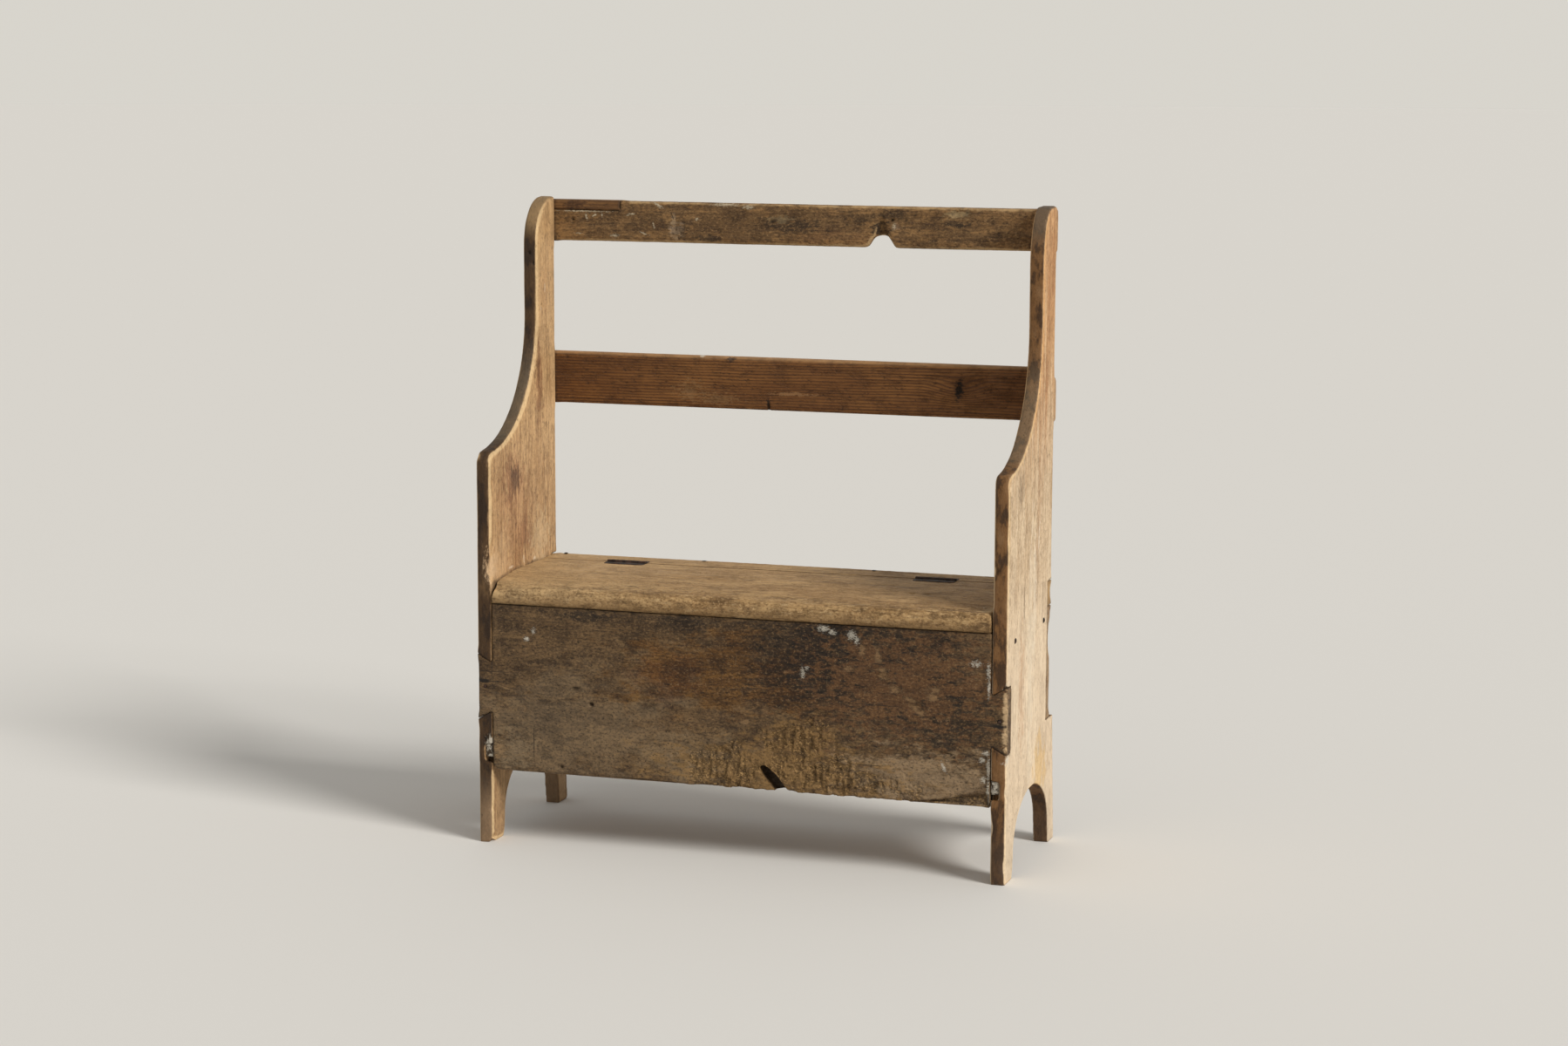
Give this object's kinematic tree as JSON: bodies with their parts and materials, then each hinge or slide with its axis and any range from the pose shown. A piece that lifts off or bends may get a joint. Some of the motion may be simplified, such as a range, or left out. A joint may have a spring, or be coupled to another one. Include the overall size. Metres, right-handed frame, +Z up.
{
  "type": "box bench",
  "caption": "Old pine box bench: shaped end boards on arched feet, open railed back, dovetailed chest under the seat and a seat lid that lifts on iron hinges.",
  "frame": {"origin": "on the floor, in the middle of the bench's width and depth", "axes": "+X along the seat to the sitter's left, seen from the front to the right; -Y to the front; +Z up"},
  "size_m": [0.904, 0.342, 1.058],
  "materials": {
    "end_pine": "bare aged pine, worn pale along the edges",
    "front_pine": "bare aged pine, grey and stained, with worm-eaten patches",
    "seat_pine": "bare aged pine, polished by use",
    "top_rail_pine": "bare aged pine with knots",
    "mid_rail_pine": "straight-grained reddish pine",
    "inner_pine": "rough sawn pine, dusty",
    "wrought_iron": "dark rusted wrought iron"
  },
  "bodies": {
    "frame": {"left_end_board": "end_pine", "right_end_board": "end_pine", "front_panel": "front_pine", "back_panel": "inner_pine", "bottom_board": "inner_pine", "seat_back_strip": "seat_pine", "top_rail": "top_rail_pine", "top_rail_patch": "top_rail_pine", "mid_rail": "mid_rail_pine", "left_seat_cleat": "inner_pine", "right_seat_cleat": "inner_pine", "left_hinge_strip_leaf": "wrought_iron", "right_hinge_strip_leaf": "wrought_iron", "left_hinge_pin": "wrought_iron", "right_hinge_pin": "wrought_iron", "front_panel_nails": "wrought_iron", "back_panel_nails": "wrought_iron", "top_rail_nails": "wrought_iron", "mid_rail_nails": "wrought_iron", "seat_strip_nails": "wrought_iron", "cleat_nails": "wrought_iron", "hinge_strip_nails": "wrought_iron"},
    "lid": {"seat_lid": "seat_pine", "left_hinge_lid_leaf": "wrought_iron", "right_hinge_lid_leaf": "wrought_iron", "hinge_lid_nails": "wrought_iron"}
  },
  "joints": [
    {"name": "lid_hinge", "type": "hinge", "parent": "frame", "child": "lid", "pos_m": [0, 0.061, 0.446], "axis": [-1, 0, 0], "range_deg": [0, 170]}
  ]
}
